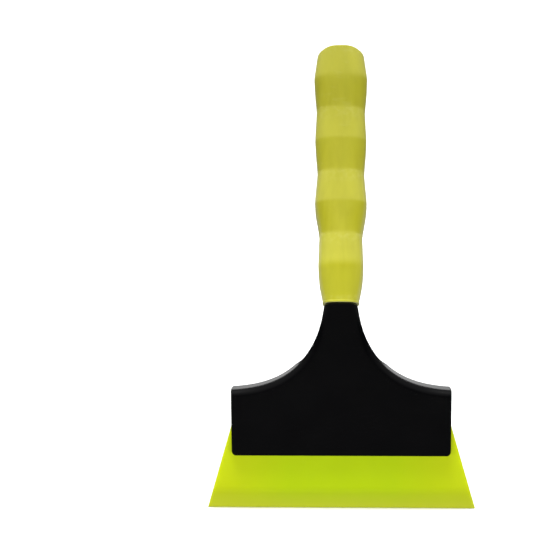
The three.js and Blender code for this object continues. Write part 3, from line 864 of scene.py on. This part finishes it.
def screw_places():
    """Name, x, z, seat, length and the boss's end of every screw."""
    places = []
    for name, (x, z) in HEAD_SCREWS.items():
        seat = HEAD_SCREW["seat"]
        places.append((name, x, z, seat, HEAD_SCREW["length"], seat - SEAT_FLOOR))
    for name, z in CORE_SCREWS.items():
        parting = parting_at(z)
        places.append((name, 0.0, z, parting + CORE_SCREW["offset"], CORE_SCREW["length"], parting))
    return places


def screw_profile(length):
    """Half outline (radius, height over the seat) from the tip to the crown of the head."""
    radius, root, head, height = (SCREW[k] for k in ("radius", "root", "head", "height"))
    pitch, tip = SCREW["pitch"], SCREW["tip"]
    point_radius, plain_shank, neck, rim, crown = 0.15, 0.9, 0.2, 0.12, 0.58
    points = [(point_radius, -length), (root * 0.7, tip * 0.5 - length), (root, tip - length)]
    start = tip - length
    while start + pitch < -plain_shank:
        points += [(radius, start + pitch * 0.45), (radius, start + pitch * 0.55)]
        points.append((root, start + pitch))
        start += pitch
    points += [(root, -neck), (root + neck, 0), (head - rim, 0), (head, rim)]
    points.append((head, height * (1 - crown)))
    for i in range(1, 9):
        turn = math.pi / 2 * i / 9
        rise = 1 - crown + crown * math.sin(turn)
        points.append((head * math.cos(turn) ** 0.8, height * rise))
    return points


def build_screw(name, x, z, seat, length):
    rings = []
    for radius, height in screw_profile(length):
        rings.append([Vector((a, seat + height, b)) for a, b in circle(x, z, radius)])
    screw = loft(name, rings)
    for along in ("x", "z"):
        cut(screw, cross_cutter(x, z, seat, along))
    return screw


def cross_cutter(x, z, seat, along):
    """One wing of the cross recess, which narrows towards its floor."""
    clear = 0.5
    floor = {"height": SCREW["height"] - CROSS["depth"], "reach": 0.55, "width": 0.7}
    top = {"height": SCREW["height"] + clear, "reach": 1.15, "width": 1.1}
    rings = []
    for share in (floor, top):
        reach, half = CROSS["reach"] * share["reach"], CROSS["width"] / 2 * share["width"]
        a, b = (reach, half) if along == "x" else (half, reach)
        corners = box_outline(x - a, x + a, z - b, z + b)
        rings.append([Vector((cx, seat + share["height"], cz)) for cx, cz in corners])
    return loft("cross", rings)


def screw_room(x, z, seat, length):
    """Room for one screw: its shank, and its head with the driver's way in from the back."""
    tip = seat - length - SCREW_PLAY
    room = bar("shank_room", x, z, SCREW["radius"] + SCREW_PLAY, tip, seat + 1)
    return join(room, bar("head_room", x, z, SCREW["head"] + SCREW_PLAY, seat, FAR))


def build_shells():
    """The two halves of the head, neck and core, hollow, with screw bosses and a shut line."""
    skin = head_body()
    inside = toward_axis(SEAM, foot_station(0)["back"], SEAM_NORMAL)
    round_rim(skin, SEAM, SEAM_NORMAL, SEAM_ROUND, inside)
    core = core_loft("core", CORE_START, CORE_END, 0)
    bottom, top = CORE_START - CORE_OVERRUN["bottom"], CORE_END + CORE_OVERRUN["top"]
    space = join(core_loft("space", bottom, top, CORE_WALL), head_cavity())
    inner = join(head_body(SHUT_LINE["depth"]), copy_of(core))
    blank = join(skin, core)
    shells = {side: build_shell(side, blank, inner, space) for side in ("front", "back")}
    for extra in (blank, inner, space):
        discard(extra)
    return shells


def neck_rib():
    """Upright rib in the middle of the front shell's neck that reaches past the parting."""
    half_width, start, end = (NECK_RIB[k] for k in ("half_width", "start", "end"))
    rib = prism("rib", box_outline(-half_width, half_width, start, end), "y", -FAR, FAR)
    return keep(rib, in_front_of_parting(NECK_RIB["overlap"]))


def build_shell(side, blank, inner, space):
    """One half. inner is the blank drawn in by the depth of the shut line."""
    half_gap = SHUT_LINE["gap"] / 2
    step = half_gap + SHUT_LINE["width"] / 2
    sign, halve = (-1, keep) if side == "front" else (1, cut)
    shell = halve(copy_of(blank), in_front_of_parting(sign * step))
    join(shell, halve(copy_of(inner), in_front_of_parting(sign * half_gap)))
    cut(shell, copy_of(space))
    if side == "front":
        join(shell, keep(neck_rib(), copy_of(inner)))
    for _, x, z, _, _, boss_end in screw_places():
        boss = bar("boss", x, z, BOSS_RADIUS, -FAR, boss_end - half_gap)
        if side == "front":
            join(shell, keep(boss, copy_of(blank)))
        else:
            post = bar("post", x, z, POST_RADIUS, boss_end + half_gap, FAR)
            join(cut(shell, boss), keep(post, copy_of(blank)))
    for _, x, z, seat, length, _ in screw_places():
        cut(shell, screw_room(x, z, seat, length))
    return cut(shell, channel())


# ---- Materials ----


class Nodes:
    """A small builder for the node tree of a material or of the world."""

    def __init__(self, owner, shader, space):
        owner.use_nodes = True
        self.owner = owner
        self.tree = owner.node_tree
        self.shader = self.tree.nodes[shader]
        self.place = self.add("ShaderNodeTexCoord").outputs[space]

    def add(self, kind, **settings):
        node = self.tree.nodes.new(kind)
        for key, value in settings.items():
            setattr(node, key, value)
        return node

    def link(self, source, target):
        self.tree.links.new(source, target)

    def fill(self, socket, value):
        """Puts a number, a colour or another node's output into a socket."""
        if isinstance(value, bpy.types.NodeSocket):
            self.link(value, socket)
        else:
            socket.default_value = value

    def stretched(self, scale):
        mapping = self.add("ShaderNodeMapping")
        self.link(self.place, mapping.inputs["Vector"])
        mapping.inputs["Scale"].default_value = scale
        return mapping.outputs["Vector"]

    def noise(self, scale, detail=3.0, roughness=0.5, vector=None, distortion=0.0):
        node = self.add("ShaderNodeTexNoise")
        self.link(vector or self.place, node.inputs["Vector"])
        node.inputs["Scale"].default_value = scale
        node.inputs["Detail"].default_value = detail
        node.inputs["Roughness"].default_value = roughness
        node.inputs["Distortion"].default_value = distortion
        return node.outputs["Fac"]

    def spots(self, scale):
        """Distance to the nearest of many scattered points."""
        node = self.add("ShaderNodeTexVoronoi")
        self.link(self.place, node.inputs["Vector"])
        node.inputs["Scale"].default_value = scale
        return node.outputs["Distance"]

    def spread(self, value, low, high, to_low=0.0, to_high=1.0, kind="LINEAR"):
        """Carries the range low..high over to to_low..to_high, and holds its ends."""
        node = self.add("ShaderNodeMapRange", clamp=True, interpolation_type=kind)
        self.link(value, node.inputs["Value"])
        numbers = {"From Min": low, "From Max": high, "To Min": to_low, "To Max": to_high}
        for name, number in numbers.items():
            node.inputs[name].default_value = number
        return node.outputs["Result"]

    def mix(self, share, first, second):
        node = self.add("ShaderNodeMix", data_type="RGBA")
        self.fill(node.inputs[0], share)
        self.fill(node.inputs[6], first)
        self.fill(node.inputs[7], second)
        return node.outputs[2]

    def calc(self, kind, first, second=0.0):
        node = self.add("ShaderNodeMath", operation=kind)
        self.fill(node.inputs[0], first)
        self.fill(node.inputs[1], second)
        return node.outputs[0]

    def plus(self, first, second):
        return self.calc("ADD", first, second)

    def times(self, first, second):
        return self.calc("MULTIPLY", first, second)

    def split(self, vector=None):
        node = self.add("ShaderNodeSeparateXYZ")
        self.link(vector or self.place, node.inputs[0])
        return node.outputs

    def upward(self):
        """How far the surface faces up, from -1 to 1."""
        return self.split(self.add("ShaderNodeNewGeometry").outputs["Normal"])["Z"]

    def bump(self, heights):
        """Chains bumps from (height, distance in metres, strength) triples."""
        normal = None
        for height, distance, strength in heights:
            node = self.add("ShaderNodeBump")
            self.link(height, node.inputs["Height"])
            node.inputs["Distance"].default_value = distance
            node.inputs["Strength"].default_value = strength
            if normal is not None:
                self.link(normal, node.inputs["Normal"])
            normal = node.outputs["Normal"]
        self.link(normal, self.shader.inputs["Normal"])

    def set(self, **values):
        for name, value in values.items():
            self.fill(self.shader.inputs[name.replace("_", " ")], value)


def material_nodes(name):
    return Nodes(bpy.data.materials.new(name), "Principled BSDF", "Object")


def rgb(red, green, blue):
    """An opaque linear colour from 0 to 255 display values."""

    def linear(value):
        share = value / 255
        return share / 12.92 if share <= 0.04045 else ((share + 0.055) / 1.055) ** 2.4

    return (linear(red), linear(green), linear(blue), 1.0)


def head_plastic():
    """Moulded black plastic: faint orange peel, hairline scratches and a little dust."""
    m = material_nodes("head_plastic")
    cloud = m.noise(45, detail=4)
    hairs = m.noise(900, detail=2, vector=m.stretched((0.05, 1, 1)))
    hairline = m.spread(hairs, 0.66, 0.72)
    dust = m.spread(m.spots(700), 0.1, 0.04)
    patches = m.spread(m.noise(130, detail=2), 0.5, 0.62)
    speck = m.times(dust, patches)
    base = m.mix(m.spread(cloud, 0.35, 0.65), rgb(5, 5, 6), rgb(7, 7, 8))
    m.set(Base_Color=m.mix(m.times(speck, 0.08), base, rgb(70, 70, 72)))
    gloss = m.spread(cloud, 0.3, 0.7, 0.17, 0.23)
    m.set(Roughness=m.plus(gloss, m.times(hairline, 0.02)), IOR=1.5)
    m.bump([(m.noise(700, detail=2), 0.00001, 0.25), (hairline, 0.000005, 0.1)])
    return m.owner


def grip_rubber():
    """Matte soft grip: fine grain, faint upright streaks, dark specks, and paler patches under each
    valley, which are partly wear where fingers rub and partly painted light on the up-facing facets
    there."""
    m = material_nodes("grip_rubber")
    cloud = m.noise(52, detail=5, roughness=0.6)
    streaks = m.noise(230, detail=3, vector=m.stretched((1, 1, 0.12)))
    _, y, z = m.split()
    along = m.plus(m.times(y, ALONG.y), m.times(z, ALONG.z))
    ragged = m.plus(m.times(m.noise(150, detail=3), 0.004), along)
    raggedness_shift = 1.0
    valley = FIRST_RIDGE + RING_STEP + raggedness_shift
    past_valley = m.calc("SUBTRACT", ragged, in_frame(GRIP_ORIGIN).dot(ALONG) + valley * MM)
    turn = m.calc("DIVIDE", past_valley, 2 * RING_STEP * MM)
    below_valley = m.spread(m.calc("FRACT", turn), 0.78, 0.99)
    grain = m.noise(2600, detail=2)
    pits = m.spread(m.spots(1100), 0.16, 0.05)
    worn = m.spread(m.noise(55, detail=3), 0.5, 0.64)
    specks = m.times(pits, worn)
    scratches = m.noise(240, detail=4, vector=m.stretched((0.2, 1, 1)), distortion=0.5)
    scuff = m.times(m.spread(scratches, 0.58, 0.68), worn)
    # Pale patches just under each valley: partly wear, partly painted light on the up-facing facet
    # there.
    rubbed_and_lit = m.times(below_valley, m.spread(m.noise(420, detail=4), 0.42, 0.66))
    base = m.mix(m.spread(cloud, 0.3, 0.7), rgb(183, 179, 31), rgb(194, 192, 39))
    base = m.mix(m.spread(streaks, 0.35, 0.65, 0.0, 0.5), base, rgb(201, 197, 45))
    base = m.mix(m.times(specks, 0.5), base, rgb(138, 130, 28))
    base = m.mix(m.times(scuff, 0.15), base, rgb(222, 220, 128))
    base = m.mix(m.times(rubbed_and_lit, 0.22), base, rgb(222, 220, 120))
    upward = m.upward()
    # Painted sheen: facets that face a little upward are made paler, as the overhead light would
    # make them.
    painted_top_sheen = m.times(m.spread(upward, 0.02, 0.24), m.spread(upward, 0.7, 0.45))
    base = m.mix(m.times(painted_top_sheen, 0.14), base, rgb(222, 220, 150))
    # Painted light: the grip is lighter towards its foot, as a low lamp in front would light it.
    base = m.mix(m.spread(z, *PAINTED_FOOT_LIGHT_FADE, 0.0, 0.24), base, rgb(222, 222, 72))
    # Painted highlight: the nose above the last ridge, which faces up towards the key light, is
    # made paler.
    base = m.mix(m.spread(z, *PAINTED_NOSE_HIGHLIGHT_FADE, 0.0, 0.2), base, rgb(228, 224, 96))
    # Painted reflection: pale sheen on the grip's slanting sides low down, where a white floor
    # would show.
    aslant = m.spread(m.add("ShaderNodeLayerWeight").outputs["Facing"], 0.4, 0.85)
    painted_low_rim_sheen = m.times(aslant, m.spread(z, *PAINTED_LOW_RIM_SHEEN_FADE, 0.0, 0.32))
    base = m.mix(painted_low_rim_sheen, base, rgb(250, 250, 215))
    # Painted shade: surfaces that face steeply up, such as the slanted end and its rim, are
    # darkened towards olive.
    base = m.mix(m.spread(upward, 0.45, 0.68, 0.0, 0.3), base, rgb(140, 136, 34))
    m.set(Base_Color=base, Roughness=m.spread(cloud, 0.3, 0.7, 0.62, 0.8), IOR=1.45)
    m.set(Specular_IOR_Level=0.35, Sheen_Weight=0.14, Sheen_Roughness=0.5)
    m.bump([(grain, 0.00006, 0.5), (m.noise(420, detail=3), 0.00008, 0.35), (pits, -0.00005, 0.4)])
    return m.owner


def blade_elastomer():
    """Cast translucent urethane, greener in the middle; painted light makes it yellower towards its
    ends and paler on its bevel, and it glows a little all over.
    """
    m = material_nodes("blade_elastomer")
    x, _, z = m.split()
    # Painted light: the blade grows yellower towards its ends, as light shining through it from
    # behind would make it.
    across = m.spread(m.calc("ABSOLUTE", x), *PAINTED_END_GLOW_FADE)
    # Painted light: the bevel faces down and gets less light, so it is made paler and brighter
    # here.
    low = m.spread(z, *PAINTED_BEVEL_LIGHT_FADE)
    cloud = m.spread(m.noise(26, detail=3), 0.3, 0.7)
    base = m.mix(across, rgb(166, 189, 17), rgb(182, 189, 23))
    base = m.mix(m.times(cloud, 0.25), base, rgb(176, 199, 19))
    # Painted light on the bevel is mixed in here.
    base = m.mix(m.times(low, 0.75), base, rgb(184, 193, 54))
    scratches = m.noise(650, detail=2, vector=m.stretched((1, 1, 0.06)))
    near_edge = m.spread(z, *EDGE_SCRATCH_FADE)
    scratch = m.times(m.spread(scratches, 0.62, 0.7), near_edge)
    gloss = m.spread(cloud, 0, 1, 0.28, 0.36)
    m.set(Base_Color=base, Roughness=m.plus(gloss, m.times(scratch, 0.15)))
    m.set(Subsurface_Weight=0.7, Subsurface_Scale=0.008, IOR=1.48, Specular_IOR_Level=0.4)
    # Emission: partly the urethane's fluorescence, partly painted light that lifts the shade under
    # the head and on the bevel.
    m.set(Emission_Color=base, Emission_Strength=0.33)
    m.shader.inputs["Subsurface Radius"].default_value = (1.0, 1.0, 0.15)
    m.bump([(m.noise(60, detail=2), 0.0001, 0.2), (scratch, -0.00003, 0.4)])
    return m.owner


def plug_plastic():
    """Satin black plastic with a fine spark-eroded texture."""
    m = material_nodes("plug_plastic")
    cloud = m.noise(90, detail=3)
    m.set(Base_Color=m.mix(m.spread(cloud, 0.3, 0.7), rgb(14, 14, 15), rgb(24, 24, 25)))
    m.set(Roughness=m.spread(cloud, 0.3, 0.7, 0.42, 0.55))
    m.bump([(m.noise(2200, detail=2), 0.00003, 0.6)])
    return m.owner


def screw_steel():
    """Zinc plated steel with turning marks and dull patches."""
    m = material_nodes("screw_steel")
    cloud = m.noise(500, detail=4)
    m.set(Base_Color=m.mix(m.spread(cloud, 0.35, 0.65), rgb(168, 168, 164), rgb(198, 198, 196)))
    m.set(Metallic=1.0, Roughness=m.spread(cloud, 0.3, 0.7, 0.25, 0.45))
    m.bump([(m.noise(1800, detail=2, vector=m.stretched((1, 0.1, 1))), 0.00001, 0.5)])
    return m.owner


# ---- Stage ----


def floor():
    """A plain pale floor that runs out into the white backdrop."""
    half = FLOOR_HALF_WIDTH
    corners = [(x, y, 0) for x, y in box_outline(-half, half, -half, half)]
    mesh = bpy.data.meshes.new("floor")
    mesh.from_pydata(corners, [], [(0, 1, 2, 3)])
    obj = add_object("floor", mesh)
    m = material_nodes("floor")
    pale = m.mix(m.spread(m.noise(4, detail=2), 0.3, 0.7), rgb(250, 250, 250), rgb(253, 253, 253))
    bounce = m.add("ShaderNodeLightPath").outputs["Is Diffuse Ray"]
    m.set(Base_Color=m.mix(bounce, pale, rgb(90, 90, 90)))
    m.set(Roughness=0.9, Specular_IOR_Level=0.0)
    mesh.materials.append(m.owner)
    obj.visible_glossy = False


def studio_world():
    """White to the camera. Glossy surfaces see a bright backdrop behind and dim flags elsewhere,
    each a soft-edged range of the ray's own direction."""
    world = bpy.data.worlds.new("studio")
    bpy.context.scene.world = world
    w = Nodes(world, "Background", "Generated")
    x, y, z = w.split()

    def ramp(value, low, high, to_low=0.0, to_high=1.0):
        return w.spread(value, low, high, to_low, to_high, "SMOOTHSTEP")

    behind, above = ramp(y, 0.86, 0.95), ramp(z, -0.06, 0.0)
    overhead = ramp(z, 0.0, 0.8, 0.0, OVERHEAD)
    table = ramp(z, -0.24, -0.06, TABLE, 0.0)
    aside = ramp(w.calc("ABSOLUTE", x), 0.15, 0.35, 1.0, 0.0)
    high = ramp(z, 0.75, 0.95)
    in_front = ramp(y, 0.25, 0.5, 1.0, 0.0)
    softbox = w.times(w.times(aside, high), w.times(in_front, SOFTBOX))
    backdrop = w.times(w.times(behind, above), BACKDROP)
    seen_by_gloss = w.plus(w.plus(backdrop, overhead), w.plus(softbox, table))
    rays = w.add("ShaderNodeLightPath").outputs
    diffuse = w.times(rays["Is Diffuse Ray"], AMBIENT)
    glossy = w.times(rays["Is Glossy Ray"], seen_by_gloss)
    strength = w.plus(w.plus(diffuse, glossy), rays["Is Camera Ray"])
    w.set(Color=(1, 1, 1, 1), Strength=strength)


def aim_from(obj, place, aim, roll=0.0):
    obj.location = place
    obj.rotation_mode = "QUATERNION"
    toward = (Vector(aim) - Vector(place)).to_track_quat("-Z", "Y")
    obj.rotation_quaternion = toward @ Quaternion((0, 0, 1), roll)


def place_light(name, power, place, kind="AREA", aim=LIGHT_AIM, size=None):
    """A soft light that is itself not mirrored in glossy surfaces."""
    light = bpy.data.lights.new(name, kind)
    light.energy = power
    if size:
        light.shape = "RECTANGLE"
        light.size, light.size_y = size
    else:
        light.angle = SUN_WIDTH
    obj = add_object(name, light)
    aim_from(obj, place, aim)
    obj.visible_glossy = False
    obj.visible_camera = False


def camera():
    """At the photograph's viewing angle: a long lens, a little above and nearly square on."""
    data = bpy.data.cameras.new("camera")
    data.lens, data.sensor_width = LENS, 36.0
    data.clip_start, data.clip_end = 0.05, 50
    obj = add_object("camera", data)
    aim_from(obj, CAMERA_PLACE, CAMERA_AIM, CAMERA_ROLL)
    bpy.context.scene.camera = obj


def build_stage():
    floor()
    studio_world()
    for name, light in LIGHTS.items():
        place_light(name, **light)
    camera()
    bpy.context.scene.view_settings.view_transform = "Standard"


# ---- Assembly ----

black, rubber = head_plastic(), grip_rubber()
finish_piece(build_blade(), "blade_cast", "blade", "blade", blade_elastomer())
for side, shell in build_shells().items():
    finish_piece(shell, side + "_shell_moulded", side + "_shell", "handle", black)
finish_piece(build_sleeve(), "grip_moulded", "grip_sleeve", "handle", rubber)
finish_piece(build_plug(), "plug_moulded", "end_plug", "handle", plug_plastic())
steel = screw_steel()
for name, x, z, seat, length, _ in screw_places():
    screw = build_screw(name + "_turned", x, z, seat, length)
    finish_piece(screw, name + "_turned", name, "handle", steel)
build_stage()
